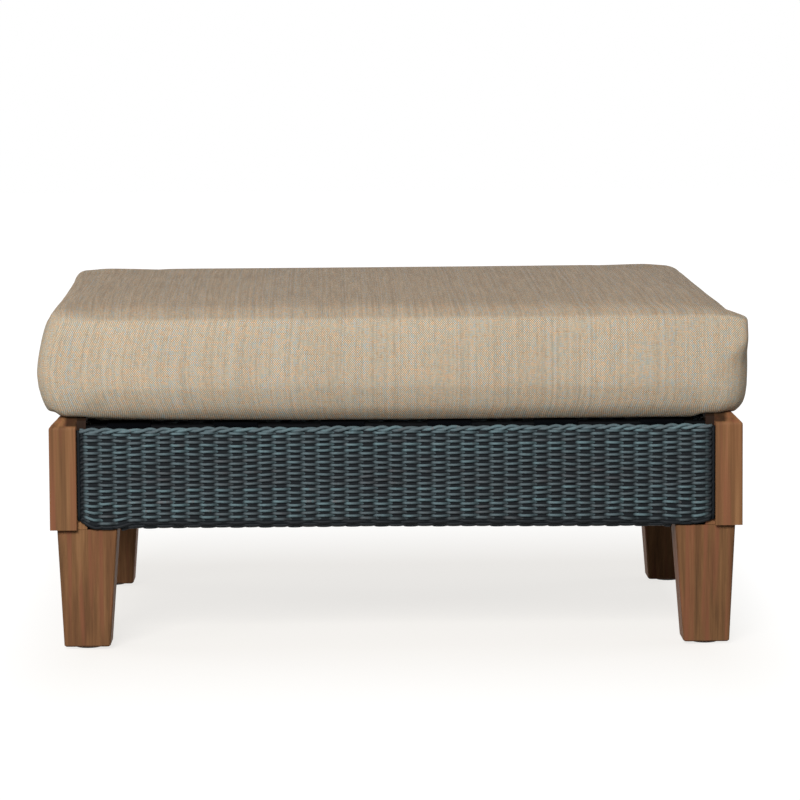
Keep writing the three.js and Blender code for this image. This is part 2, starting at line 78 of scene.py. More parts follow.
# Sizes of the part, from the frame
FRAME_LOW, _ = corners("front_left_post")
_, FRAME_HIGH = corners("back_right_post")
FRAME_X, FRAME_Y, _ = FRAME_HIGH - FRAME_LOW
POST_TOP = FRAME_HIGH[2]
LEG_TOP = corners("front_left_leg")[1][2]
RAIL_LOW, RAIL_HIGH = corners("front_top_rail")
RAIL_SETBACK = RAIL_LOW[1] - FRAME_LOW[1]
RAIL_SIZE = RAIL_HIGH[1] - RAIL_LOW[1]
TOP_RAIL_TOP = RAIL_HIGH[2]
CUSHION_LOW, CUSHION_HIGH = corners("cushion_cover")
CUSHION_X, CUSHION_Y, _ = CUSHION_HIGH - CUSHION_LOW
CUSHION_BOTTOM, SEAM_HEIGHT = CUSHION_LOW[2], CUSHION_HIGH[2] - CROWN
ZIP_LOW, ZIP_HIGH = corners("zip_tape")
ZIP_HEIGHT = (ZIP_LOW[2] + ZIP_HIGH[2]) / 2

# Each side's length, and where a point x along it and d in from its outer face lies
SIDES = {
    "front": (FRAME_X, lambda x, d: (x, d - FRAME_Y / 2)),
    "back": (FRAME_X, lambda x, d: (-x, FRAME_Y / 2 - d)),
    "right": (FRAME_Y, lambda x, d: (FRAME_X / 2 - d, x)),
    "left": (FRAME_Y, lambda x, d: (d - FRAME_X / 2, -x)),
}


# Node materials


class Shader:
    """A material with a Principled surface and short calls that add nodes to it."""

    def __init__(self, name, **surface):
        self.material = bpy.data.materials.new(name)
        self.material.use_nodes = True
        self.tree = self.material.node_tree
        self.tree.nodes.clear()
        self.surface = self.add("ShaderNodeBsdfPrincipled", **surface)
        self.output = self.add("ShaderNodeOutputMaterial")
        self.tree.links.new(self.surface.outputs[0], self.output.inputs[0])

    def add(self, kind, props=None, **inputs):
        node = self.tree.nodes.new(kind)
        for key, value in (props or {}).items():
            setattr(node, key, value)
        for key, value in inputs.items():
            self.set(node.inputs[self.input_name(node, key)], value)
        return node

    @staticmethod
    def input_name(node, key):
        wanted = key.replace("_", " ").lower()
        for index, socket in enumerate(node.inputs):
            if socket.name.lower() == wanted and socket.enabled:
                return index
        raise KeyError(f"{node.bl_idname} has no input {key}")

    def set(self, socket, value):
        if isinstance(value, bpy.types.NodeSocket):
            self.tree.links.new(value, socket)
        elif isinstance(value, (tuple, list)) and len(value) == 3 and len(socket.default_value) == 4:
            socket.default_value = (*value, 1.0)
        else:
            socket.default_value = value

    def math(self, operation, a, b=0.0):
        node = self.add("ShaderNodeMath", {"operation": operation})
        self.set(node.inputs[0], a)
        self.set(node.inputs[1], b)
        return node.outputs[0]

    def times(self, a, b):
        return self.math("MULTIPLY", a, b)

    def plus(self, a, b):
        return self.math("ADD", a, b)

    def vector_math(self, operation, a, b=(0.0, 0.0, 0.0)):
        node = self.add("ShaderNodeVectorMath", {"operation": operation})
        self.set(node.inputs[0], a)
        self.set(node.inputs[1], b)
        return node.outputs["Value" if operation == "LENGTH" else "Vector"]

    def combine(self, x=0.0, y=0.0, z=0.0):
        return self.add("ShaderNodeCombineXYZ", x=x, y=y, z=z).outputs[0]

    def separate(self, vector):
        return self.add("ShaderNodeSeparateXYZ", vector=vector).outputs

    def object_coords(self):
        return self.add("ShaderNodeTexCoord").outputs["Object"]

    def uv(self, name):
        return self.add("ShaderNodeUVMap", {"uv_map": name}).outputs[0]

    def attribute(self, name):
        return self.add("ShaderNodeAttribute", {"attribute_name": name}).outputs["Fac"]

    def noise(self, vector, scale=1.0, detail=2.0, roughness=0.5):
        node = self.add("ShaderNodeTexNoise", vector=vector, scale=scale, detail=detail)
        node.inputs["Roughness"].default_value = roughness
        return node.outputs["Fac"]

    def white(self, value):
        return self.add("ShaderNodeTexWhiteNoise", {"noise_dimensions": "1D"}, w=value).outputs["Value"]

    def ramp(self, factor, stops):
        """A colour from stops of (place, sRGB colour)."""
        node = self.add("ShaderNodeValToRGB", fac=factor)
        ramp = node.color_ramp
        while len(ramp.elements) < len(stops):
            ramp.elements.new(0.5)
        for element, (place, colour) in zip(ramp.elements, stops):
            element.position = place
            element.color = (*linear(colour), 1.0)
        return node.outputs["Color"]

    def span(self, value, low, high, to_low=0.0, to_high=1.0):
        """The value moved from the span low..high to another, and held at its ends."""
        node = self.add("ShaderNodeMapRange", value=value)
        for index, number in enumerate((low, high, to_low, to_high), 1):
            node.inputs[index].default_value = number
        return node.outputs[0]

    def mix(self, factor, a, b, blend="MIX"):
        node = self.add("ShaderNodeMix", {"data_type": "RGBA", "blend_type": blend})
        self.set(node.inputs[0], factor)
        self.set(node.inputs[6], a)
        self.set(node.inputs[7], b)
        return node.outputs[2]

    def scale_colour(self, colour, factor):
        grey = self.add("ShaderNodeCombineColor", red=factor, green=factor, blue=factor).outputs[0]
        return self.mix(1.0, colour, grey, "MULTIPLY")

    def bump(self, height, strength, distance):
        node = self.add("ShaderNodeBump", height=height, strength=strength, distance=distance)
        self.set(self.surface.inputs["Normal"], node.outputs[0])

    def finish(self, **links):
        for key, value in links.items():
            self.set(self.surface.inputs[self.input_name(self.surface, key)], value)
        return self.material


def linear(colour):
    """An sRGB colour with parts from 0 to 255, as linear light."""
    shares = [part / 255 for part in colour]
    return tuple(s / 12.92 if s <= 0.04045 else ((s + 0.055) / 1.055) ** 2.4 for s in shares)


def teak_material(name):
    """Oiled teak: long growth figure along Z, darker pores and a mottled warm tone.

    The legs are another board, a little darker. The posts' inner tops under the cushion's edge, and
    the rabbet beside the panel, carry painted shade nearly black; the end grain there is darker too.
    """
    s = Shader(name, specular_ior_level=0.12)
    where = s.object_coords()
    x, y, z = s.separate(where)
    bend = s.noise(s.vector_math("MULTIPLY", where, (7.0, 7.0, 3.0)))
    drift = s.times(bend, 0.004)
    across = s.combine(s.plus(x, drift), s.plus(y, drift), s.times(z, 0.02))
    figure = s.noise(s.vector_math("ADD", across, (0.031, 0.0, 0.0)), 150.0)
    blush = s.noise(s.combine(x, y, s.times(z, 0.03)), 120.0, 1.0)
    fine = s.noise(across, 520.0, 2.0, 0.6)
    pores = s.noise(s.combine(x, y, s.times(z, 0.012)), 1500.0, 1.0)
    mottle = s.noise(s.combine(x, y, s.times(z, 0.25)), 18.0, 2.0)
    tone = s.plus(s.times(figure, 0.72), s.times(fine, 0.28))
    colour = s.ramp(s.span(tone, 0.33, 0.67), [
        (0.0, (98, 69, 45)), (0.3, (113, 80, 52)), (0.65, (128, 91, 59)), (1.0, (145, 105, 70)),
    ])
    colour = s.mix(s.span(mottle, 0.42, 0.66, 0.0, 0.25), colour, linear((127, 76, 50)))
    colour = s.mix(s.span(blush, 0.5, 0.68, 0.0, 0.6), colour, linear((139, 85, 62)))
    board = s.span(z, LEG_TOP * MM, (LEG_TOP + FIT) * MM, 0.86, 1.0)
    # The painted shade on the inner tops begins between these heights and ends between these distances
    # from the middle
    top_shade_begins, top_shade_ends, rabbet_begins = (0.2575, 0.259), (0.374, 0.379), (0.249, 0.2495)
    beside = s.math("ABSOLUTE", x)
    post_inner = (FRAME_X / 2 - POST_FACE) * MM
    shaded_end_grain = s.times(s.span(z, *top_shade_begins), s.span(beside, *top_shade_ends, 1.0, 0.0))
    rabbet = s.times(s.span(z, *rabbet_begins), s.span(beside, post_inner - MM, post_inner, 1.0, 0.0))
    # Painted shade under the cushion's edge, on the posts' inner tops and in the rabbet, takes the board
    # nearly to black
    cushion_shade = s.math("MAXIMUM", shaded_end_grain, s.times(rabbet, 1.2))
    board = s.times(board, s.span(cushion_shade, 0.0, 1.2, 1.0, 0.08))
    colour = s.scale_colour(colour, s.times(s.span(pores, 0.6, 0.72, 1.0, 0.9), board))
    s.bump(s.math("SUBTRACT", s.times(fine, 0.5), s.times(pores, 0.5)), 0.2, 0.0006)
    return s.finish(base_color=colour, roughness=s.span(tone, 0.3, 0.7, 0.7, 0.52))


def strand_material(name, specular):
    """Round synthetic strand, streaked along its length.

    The mesh holds each strand's own tone, and its painted shading: light from the left along each
    column, and painted shade where it lies deep, at the posts and round the lower bend.
    """
    s = Shader(name, specular_ior_level=specular)
    where = s.object_coords()
    tone = s.attribute("tone")
    painted_shading = s.attribute("painted_shading")
    streak = s.noise(s.combine(s.times(s.attribute("along"), 30.0), s.times(tone, 40.0)), 1.0, 3.0)
    patch = s.noise(where, 16.0, 2.0)
    grain = s.noise(where, 900.0, 2.0)
    pick = s.plus(s.times(tone, 0.45), s.times(streak, 0.35))
    pick = s.plus(pick, s.times(patch, 0.3))
    colour = s.ramp(s.span(pick, 0.3, 0.8), [
        (0.0, (86, 89, 92)), (0.3, (90, 101, 105)), (0.6, (96, 112, 117)), (0.85, (107, 131, 136)),
        (1.0, (110, 113, 116)),
    ])
    level = s.times(s.span(grain, 0.3, 0.7, 0.9, 1.08), painted_shading)
    s.bump(grain, 0.15, 0.0003)
    # Where the painted shade is deep, the colour goes to this dark one
    colour = s.mix(s.span(painted_shading, 0.12, 0.5), linear((28, 31, 34)), s.scale_colour(colour, level))
    return s.finish(base_color=colour, roughness=s.span(grain, 0.3, 0.7, 0.6, 0.45))


def fabric_material():
    """Plain weave: cream warp over a darker, mixed weft, laid by the cloth's own coordinates.

    The top is a little more streaked than the sides, as the photograph shows, and warmer by a painted
    tint that stands in for the warmer light on it.
    """
    warp_pitch, weft_pitch = 0.00116, 0.0014
    side_ends, top_begins = 0.372, 0.392
    s = Shader("cushion_fabric", roughness=0.95, specular_ior_level=0.15)
    u, v, _ = s.separate(s.uv("cloth"))
    su, sv = s.math("DIVIDE", u, warp_pitch), s.math("DIVIDE", v, weft_pitch)
    i, j = s.math("FLOOR", su), s.math("FLOOR", sv)
    over = s.math("PINGPONG", s.plus(i, j), 1.0)
    warp_slub = s.noise(s.combine(s.times(i, 7.7), s.times(v, 110.0)), 1.0, 2.0)
    weft_slub = s.noise(s.combine(s.times(u, 150.0), s.times(j, 7.7)), 1.0, 2.0)
    warp_pick = s.plus(s.times(s.white(i), 0.4), s.times(s.span(warp_slub, 0.25, 0.75), 0.6))
    weft_pick = s.plus(
        s.times(s.white(s.plus(j, 517.0)), 0.15),
        s.times(s.span(weft_slub, 0.25, 0.75), 0.85),
    )
    warp = s.ramp(warp_pick, [
        (0.0, (174, 160, 137)), (0.35, (197, 187, 164)), (0.6, (220, 203, 172)), (0.75, (184, 199, 198)),
        (1.0, (232, 212, 192)),
    ])
    weft = s.ramp(weft_pick, [
        (0.0, (120, 96, 70)), (0.3, (176, 132, 92)), (0.5, (130, 141, 138)), (0.7, (190, 137, 95)),
        (1.0, (142, 121, 102)),
    ])
    hump_u = s.math("SINE", s.times(s.math("FRACT", su), math.pi))
    hump_v = s.math("SINE", s.times(s.math("FRACT", sv), math.pi))
    height = s.math("SQRT", s.times(hump_u, hump_v))
    streaks = s.noise(s.combine(s.times(u, 260.0), s.times(v, 9.0)), 1.0, 3.0)
    where = s.object_coords()
    cloud = s.noise(where, 9.0)
    on_top = s.span(s.separate(where)[2], side_ends, top_begins)
    streak_depth = s.span(on_top, 0.0, 1.0, 0.08, 0.15)
    streaks = s.times(s.span(streaks, 0.25, 0.75, -1.0, 1.0), streak_depth)
    level = s.times(s.span(height, 0.0, 1.0, 0.84, 1.06), s.plus(streaks, 1.0))
    level = s.times(level, s.span(cloud, 0.3, 0.7, 0.97, 1.03))
    s.bump(height, 0.3, 0.0004)
    colour = s.scale_colour(s.mix(over, weft, warp), level)
    # Painted light: a warmer tint on the top, for the warmer light that falls there
    warm_light_tint = s.vector_math("MULTIPLY", colour, (0.98, 0.93, 0.915))
    return s.finish(base_color=s.mix(on_top, colour, warm_light_tint))


def webbing_material():
    """Dark ribbed webbing: ribs run across each strap. Its near black is partly painted shade, for the
    band under the cushion's edge.
    """
    rib_pitch, lane_pitch = 0.0022, 0.0031
    s = Shader("webbing", roughness=0.95, specular_ior_level=0.02)
    along = s.attribute("along")
    across = s.attribute("across")
    rib = s.math("SINE", s.times(along, 2 * math.pi / rib_pitch))
    lane = s.math("SINE", s.times(across, 2 * math.pi / lane_pitch))
    weave = s.times(rib, lane)
    stain = s.noise(s.object_coords(), 30.0, 3.0)
    colour = s.ramp(s.span(weave, -1.0, 1.0), [(0.0, (3, 4, 6)), (0.6, (7, 8, 11)), (1.0, (14, 15, 18))])
    colour = s.scale_colour(colour, s.span(stain, 0.3, 0.7, 0.85, 1.12))
    s.bump(weave, 0.5, 0.0005)
    return s.finish(base_color=colour)


def coated_material():
    """Powder coat on the aluminium: a fine orange-peel surface. Its near black is partly painted shade,
    for the band under the cushion's edge.
    """
    s = Shader("powder_coat", specular_ior_level=0.05)
    where = s.object_coords()
    peel = s.noise(where, 900.0, 2.0)
    wear = s.noise(where, 40.0, 4.0)
    colour = s.ramp(s.span(wear, 0.3, 0.75), [(0.0, (5, 6, 8)), (0.7, (9, 10, 12)), (1.0, (18, 19, 21))])
    s.bump(peel, 0.25, 0.0003)
    return s.finish(base_color=colour, roughness=s.span(wear, 0.3, 0.7, 0.6, 0.75))


def steel_material():
    """Plated steel, finely brushed along Z."""
    s = Shader("bright_steel", metallic=1.0)
    where = s.object_coords()
    brushed = s.noise(s.vector_math("MULTIPLY", where, (1.0, 1.0, 0.1)), 1200.0, 2.0)
    haze = s.noise(where, 90.0, 3.0)
    colour = s.ramp(s.span(haze, 0.3, 0.7), [(0.0, (139, 139, 140)), (1.0, (172, 173, 175))])
    s.bump(brushed, 0.1, 0.0002)
    return s.finish(base_color=colour, roughness=s.span(brushed, 0.3, 0.7, 0.28, 0.44))


def nylon_material():
    """Dark moulded nylon with a fine grain."""
    s = Shader("glide_nylon")
    grain = s.noise(s.object_coords(), 500.0, 3.0)
    colour = s.ramp(s.span(grain, 0.3, 0.7), [(0.0, (30, 27, 25)), (1.0, (46, 42, 39))])
    s.bump(grain, 0.2, 0.0002)
    return s.finish(base_color=colour, roughness=s.span(grain, 0.3, 0.7, 0.5, 0.68))


def zip_material():
    """Woven tape with a coil chain along X."""
    chain_half, tooth_pitch = 0.0026, 0.0016
    s = Shader("zip_tape_and_coil", roughness=0.55)
    x, _, z = s.separate(s.object_coords())
    from_middle = s.math("ABSOLUTE", s.math("SUBTRACT", z, ZIP_HEIGHT * MM))
    chain = s.math("LESS_THAN", from_middle, chain_half)
    teeth = s.math("SINE", s.times(x, 2 * math.pi / tooth_pitch))
    herringbone = s.math("SINE", s.times(s.plus(x, from_middle), 5200.0))
    tape = s.ramp(s.span(herringbone, -1.0, 1.0), [(0.0, (120, 108, 90)), (1.0, (151, 138, 118))])
    coil = s.ramp(s.span(teeth, -1.0, 1.0), [
        (0.0, (88, 78, 64)), (0.5, (137, 124, 104)), (1.0, (163, 150, 129)),
    ])
    colour = s.mix(chain, tape, coil)
    s.bump(s.times(teeth, chain), 0.6, 0.0006)
    return s.finish(base_color=colour)


def foam_material():
    """Pale open-cell foam."""
    s = Shader("foam", roughness=0.95)
    cells = s.noise(s.object_coords(), 700.0, 3.0)
    colour = s.ramp(s.span(cells, 0.3, 0.7), [(0.0, (214, 207, 190)), (1.0, (238, 233, 220))])
    s.bump(cells, 0.4, 0.0006)
    return s.finish(base_color=colour)


# Meshes


def put(name, points, faces, material, body, values=None):
    """Makes a smooth mesh of points in millimetres that rides on a body. values are per point."""
    mesh = bpy.data.meshes.new(name)
    mesh.from_pydata((np.asarray(points, float) * MM).tolist(), [], faces)
    for key, numbers in (values or {}).items():
        layer = mesh.attributes.new(key, "FLOAT", "POINT")
        layer.data.foreach_set("value", np.asarray(numbers, np.float32))
    mesh.polygons.foreach_set("use_smooth", np.ones(len(mesh.polygons), bool))
    mesh.materials.append(material)
    mesh.update()
    piece = bpy.data.objects.new(name, mesh)
    bpy.context.scene.collection.objects.link(piece)
    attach(piece, body)
    return piece


def unit(vectors):
    return vectors / np.maximum(np.linalg.norm(vectors, axis=-1, keepdims=True), 1e-9)


def smoothstep(low, high, value):
    t = np.clip((value - low) / (high - low), 0, 1)
    return t * t * (3 - 2 * t)


def curve(value, points):
    """The height at a value of the straight stretches between (place, height) points."""
    places, heights = zip(*points)
    return np.interp(value, places, heights)


def distances(path):
    """How far along a path in millimetres each of its points lies, in metres."""
    steps = np.linalg.norm(np.diff(path, axis=0), axis=1)
    return np.concatenate([[0.0], np.cumsum(steps)]) * MM


class Strands:
    """Collects tubes for one mesh, with each point's tone, painted shading and place along its strand."""

    def __init__(self):
        self.points, self.faces, self.tone, self.along, self.painted_shading = [], [], [], [], []
        self.count = 0

    def tube(self, path, up, side_radius, up_radius, tone, painted_shading, sides=8):
        """A tube along a path, oval where its radius across and its radius along up differ."""
        path, up = np.asarray(path, float), np.asarray(up, float)
        length = len(path)
        ahead = unit(np.gradient(path, axis=0))
        side = unit(np.cross(ahead, up))
        rise = np.cross(side, ahead)
        angle = np.arange(sides) * 2 * math.pi / sides
        ring = (
            path[:, None, :]
            + np.reshape(side_radius, (-1, 1, 1)) * np.cos(angle)[None, :, None] * side[:, None, :]
            + np.reshape(up_radius, (-1, 1, 1)) * np.sin(angle)[None, :, None] * rise[:, None, :]
        )
        start = self.count + (np.arange(length - 1) * sides)[:, None]
        here = start + np.arange(sides)[None, :]
        beside = start + (np.arange(sides)[None, :] + 1) % sides
        quads = np.stack([here, here + sides, beside + sides, beside], -1).reshape(-1, 4)
        first = [self.count + k for k in range(sides)]
        last = [self.count + (length - 1) * sides + k for k in reversed(range(sides))]
        self.points.append(ring.reshape(-1, 3))
        self.faces += quads.tolist() + [first, last]
        self.tone.append(np.repeat(np.broadcast_to(tone, (length,)), sides))
        self.along.append(np.repeat(distances(path), sides))
        self.painted_shading.append(np.repeat(np.broadcast_to(painted_shading, (length,)), sides))
        self.count += length * sides

    def put(self, name, material, body):
        values = {key: np.concatenate(getattr(self, key)) for key in ("tone", "along", "painted_shading")}
        return put(name, np.concatenate(self.points), self.faces, material, body, values)


# Woven side panels, in millimetres

ROW_PITCH = 3.4
STRAND = 1.75
COLUMN_PITCH = 16.5
END_GAP = 9.2
TOP_ROW = 248.6
BEND_START, BEND_RADIUS = 148.0, 5.7
WEAVE_DEPTH = 4.9
FACE_LENGTH = TOP_ROW - BEND_START
BEND_LENGTH = BEND_RADIUS * math.pi / 2
HEM_REACH = 16.0
HEM_END = BRACKET_END + 11.0
FACE_SWELL, HEM_SWELL = 2.5, 1.0
STEPS = 6  # points of a row in each column

# How far a row strays: by its own waves, by column, by a shared lean and, near MID_ROW, by shared waves
ROW_STRAY, COLUMN_STRAY, LEAN, SHARED_STRAY = 0.3, 0.22, 0.5, 0.9
MID_ROW, MID_REACH = 50, 30

# Near the posts the rows lie flatter: place in from the panel's end, and share of the swell
END_FLATTENING = [(22, 1.0), (8, 0.75)]

# The twined pair along the top: its ends, its height over the top row, and its swings up and out
TWINE_INSET, TWINE_RISE, TWINE_STRAY = 4, 4.1, 0.45
TWINE_SWING, TWINE_SWING_VARIES = 1.55, 0.6
TWINE_OUT, TWINE_OUT_SWING = 0.7, 1.7
TWINE_RADII = (1.8, 1.9)

STAKE_THICKNESS = 1.6

# How far the lower edge strays from level, for the left and the right half of a side: it rises
# beside the posts, sags over the legs and slopes down to the right
END_RISE, END_RISE_REACH = (5.0, 2.5), 24.0
LEG_SAG, LEG_SAG_BEGINS, LEG_SAG_ENDS = (4.5, 1.5), (66.0, 40.0), (4.0, 22.0)
SLOPE = 2.2
LOW_REACH = 44.0

# Under this height and this near the posts, the weave stays in front of the brackets and legs
LEG_CLEAR_HEIGHT, LEG_CLEAR_REACH, LEG_CLEAR_DEPTH = 142.5, 50.0, 5.0

# How light a strand is along one column, in front of its stakes and behind them: lit from the left
LIT_FRONT = [(0, 0.72), (0.12, 0.89), (0.45, 0.86), (0.65, 0.66), (0.85, 0.42), (1, 0.42)]
LIT_BEHIND = [(0, 0.72), (0.3, 0.64), (0.5, 0.4), (1, 0.4)]

# The dark rods beside each post, partly painted shade in the gap there: place in from the panel's end,
# depth and radius
RODS = [(2.4, 0.8, 2.1), (6.4, 1.8, 2.8)]


def section(s):
    """Depth, height and outward normal of the weave's middle at arc lengths s below the top row."""
    s = np.asarray(s, float)
    turn = np.clip((s - FACE_LENGTH) / BEND_RADIUS, 0, math.pi / 2)
    above = np.minimum(s, FACE_LENGTH)
    beyond = np.maximum(s - FACE_LENGTH - BEND_LENGTH, 0)
    depth = WEAVE_DEPTH + BEND_RADIUS * (1 - np.cos(turn)) + beyond
    height = TOP_ROW - above - BEND_RADIUS * np.sin(turn)
    return depth, height, -np.cos(turn), -np.sin(turn)


def waves(rng, count, low, high):
    """A smooth random function of a place in millimetres, about as high as 1."""
    lengths = rng.uniform(low, high, count)
    phases = rng.uniform(0, 2 * math.pi, count)

    def height(x):
        turns = (2 * math.pi * np.asarray(x) / l + p for l, p in zip(lengths, phases))
        return sum(np.sin(turn) for turn in turns) / math.sqrt(count)

    return height


def weave(side, seed):
    """One side's panel: rows of strand over the face and hem, the rim, the stakes and the rods."""
    length, place = SIDES[side]
    rng = np.random.default_rng(seed)
    half = length / 2 - POST_FACE
    hem_half = length / 2 - HEM_END
    columns = round(2 * (half - END_GAP) / COLUMN_PITCH)
    pitch = 2 * (half - END_GAP) / columns
    left = -columns * pitch / 2
    common = waves(rng, 5, 90, 400)
    lean = waves(rng, 4, 60, 300)

    def world(x, s, out, depth_shift=0.0):
        """Where a point x along the side, s down the weave and out from its middle lies."""
        depth, height, normal_depth, normal_up = section(s)
        x = np.asarray(x, float)
        beside = np.abs(x)
        near_end = np.clip((beside - (half - END_RISE_REACH)) / END_RISE_REACH, 0, 1)
        low = np.clip((np.asarray(s) - FACE_LENGTH + LOW_REACH) / LOW_REACH, 0, 1)
        from_end = half - beside
        over_leg = smoothstep(*LEG_SAG_BEGINS, from_end) * smoothstep(*LEG_SAG_ENDS, from_end)
        sag = over_leg * np.where(x < 0, *LEG_SAG)
        rise = np.where(x < 0, *END_RISE) * near_end**2
        slope = SLOPE * smoothstep(-0.2 * half, half, x) * low**2
        height = height + rise * low - sag * low**3 - slope
        depth = depth + normal_depth * out + depth_shift
        at_leg = (height < LEG_CLEAR_HEIGHT) & (beside > half - LEG_CLEAR_REACH)
        depth = np.where(at_leg, np.minimum(depth, LEG_CLEAR_DEPTH), depth)
        px, py = place(x, depth)
        return np.stack(np.broadcast_arrays(px, py, height + normal_up * out), -1)

    def swell(s):
        return curve(s, [(FACE_LENGTH - 6, FACE_SWELL), (FACE_LENGTH + 3, HEM_SWELL)])

    def row(index, reach, backwards):
        """One row's place, arc length, swell, tone and light at each of its points."""
        s0 = index * ROW_PITCH
        wobble = waves(rng, 4, 25, 160)
        u = np.arange(round((2 * reach / pitch) * STEPS) + 1) / STEPS
        x = -reach + u * pitch
        x[-1] = reach
        turns = (x - left) / pitch
        whole = np.floor(turns + 1e-6)
        column_part = np.clip(turns - whole, 0, 1)
        in_front = (whole + index) % 2 == 0
        phase = np.sin(math.pi * column_part ** np.where(in_front, 0.75, 1.3))
        shape = np.where(in_front, phase / np.sqrt(phase**2 + 0.25) * math.sqrt(1.25), -phase)
        jitter = rng.normal(0, 1, columns + 4)[np.clip(turns.astype(int) + 1, 0, columns + 3)]
        mid_height = np.clip((MID_REACH - abs(s0 - MID_ROW)) / MID_REACH, 0, 1)
        s = s0 + ROW_STRAY * wobble(x) + SHARED_STRAY * common(x) * mid_height + COLUMN_STRAY * jitter
        s = s + LEAN * lean(x + 3 * s0)
        out = swell(s0) * shape * (1 + 0.08 * jitter)
        out = out * curve(np.abs(x), [(half - inset, share) for inset, share in END_FLATTENING])
        tone = np.clip(0.5 + 0.22 * rng.normal() + 0.1 * wobble(x * 0.7), 0, 1)
        lit = np.where(in_front, curve(column_part, LIT_FRONT), curve(column_part, LIT_BEHIND))
        order = slice(None, None, -1) if backwards else slice(None)
        return x[order], s[order], out[order], tone[order], lit[order]

    def snake(indices, reach):
        """Rows joined by turns round the end stakes, as one strand."""
        rows = []
        for count, index in enumerate(indices):
            following = row(index, reach, count % 2 == 1)
            if rows:
                last_x, last_s, last_out, last_tone, _ = (values[-1] for values in rows[-1])
                _, first_s, first_out, _, _ = (values[0] for values in following)
                a = np.array([0.25, 0.5, 0.75]) * math.pi
                radius = max(abs(last_out - first_out) / 2, 0.8)
                rows.append((
                    last_x + np.sign(last_x) * radius * np.sin(a),
                    last_s + (first_s - last_s) * a / math.pi,
                    (last_out + first_out) / 2 + (last_out - first_out) / 2 * np.cos(a),
                    np.full(3, last_tone),
                    np.full(3, 0.8),
                ))
            rows.append(following)
        x, s, out, tone, lit = (np.concatenate(values) for values in zip(*rows))
        path = world(x, s, out)
        up = np.cross(unit(world(x, s, out + 1) - path), unit(np.gradient(path, axis=0)))
        before, behind = (np.clip(way * out / FACE_SWELL, 0, 1) for way in (1, -1))
        in_hem = np.clip((s - FACE_LENGTH + 3) / 4, 0, 1)
        at_post = np.clip((np.abs(x) - half + 9) / 3, 0, 1)
        # Painted shading: the light from the left, times painted shade behind the stakes, at the posts
        # and round the lower bend
        painted_shading = lit * (1 - 0.85 * np.maximum(in_hem, at_post)) * (1 - 0.4 * behind)
        upright = STRAND * (1.2 - 0.3 * before + 0.2 * behind)
        strands.tube(path, up, STRAND * 0.95, upright, tone, painted_shading)

    strands = Strands()
    face_rows = int((FACE_LENGTH + BEND_LENGTH * 0.45) / ROW_PITCH) + 1
    all_rows = int((FACE_LENGTH + BEND_LENGTH + HEM_REACH) / ROW_PITCH) + 1
    snake(range(face_rows), columns * pitch / 2 + 3.0)
    snake(range(face_rows, all_rows), hem_half)

    # Twined pair along the top
    x = np.linspace(-half + TWINE_INSET, half - TWINE_INSET, columns * STEPS)
    angle = math.pi * (x - left) / pitch
    stray = TWINE_STRAY * waves(rng, 4, 40, 200)(x)
    swing = TWINE_SWING + TWINE_SWING_VARIES * np.sin(angle / 2)
    for turn in (0, math.pi):
        s = -TWINE_RISE - swing * np.sin(angle + turn) + stray
        out = TWINE_OUT + TWINE_OUT_SWING * np.cos(angle + turn)
        path = world(x, s, out)
        up = unit(world(x, s - 0.5, out) - world(x, s + 0.5, out))
        tone = 0.6 + 0.2 * waves(rng, 3, 30, 90)(x)
        strands.tube(path, up, *TWINE_RADII, tone=tone, painted_shading=0.85)
    panel = strands.put(f"{side}_wicker", wicker, "frame")

    # Stakes up and down behind the strands, darkened with painted shade, and the dark rods at the posts,
    # end stakes whose darkness is partly painted shade
    stakes = Strands()
    for k in range(columns):
        x0 = left + (k + 0.5) * pitch
        if k in (0, columns - 1):
            end = FACE_LENGTH + 0.5
        elif abs(x0) < hem_half - 8:
            end = FACE_LENGTH + BEND_LENGTH + HEM_REACH
        else:
            end = FACE_LENGTH + BEND_LENGTH * 0.5
        upper, lower = np.linspace(-4, FACE_LENGTH - 4, 12), np.linspace(FACE_LENGTH - 1, end, 8)
        s = np.concatenate([upper, lower])
        path = world(np.full(len(s), x0), s, 0.0)
        across = np.broadcast_to(world(x0 + 1, 0.0, 0.0) - world(x0, 0.0, 0.0), path.shape)
        stakes.tube(path, unit(across), STAKE_THICKNESS / 2, pitch / 2, tone=0.2, painted_shading=0.16)
    for way in (-1, 1):
        s = np.linspace(-5, FACE_LENGTH + 2, 14)
        for inset, shift, radius in RODS:
            x = np.full(len(s), way * (half - inset))
            path = world(x, s, 0.0, shift)
            across = world(x + 1, s, 0.0, shift) - path
            stakes.tube(path, unit(across), radius, radius, tone=0.1, painted_shading=0.12)
    back = stakes.put(f"{side}_stakes", stake, "frame")
    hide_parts(f"{side}_woven_panel")


# Straps, in millimetres

STRAP_WIDTH, STRAP_THICKNESS = 50.0, 1.5
STRAP_LIFT = (STRAP_THICKNESS + FIT) / 2
STRAP_TAIL = 25.0
STRAP_RAMP, STRAP_TURN = 8.0, 2.6
SEWN_SHARE = 0.98  # of a thickness, which is how far the sewn tail lies under its strap
CROSS_STRAPS, LONG_STRAPS = 6, 4


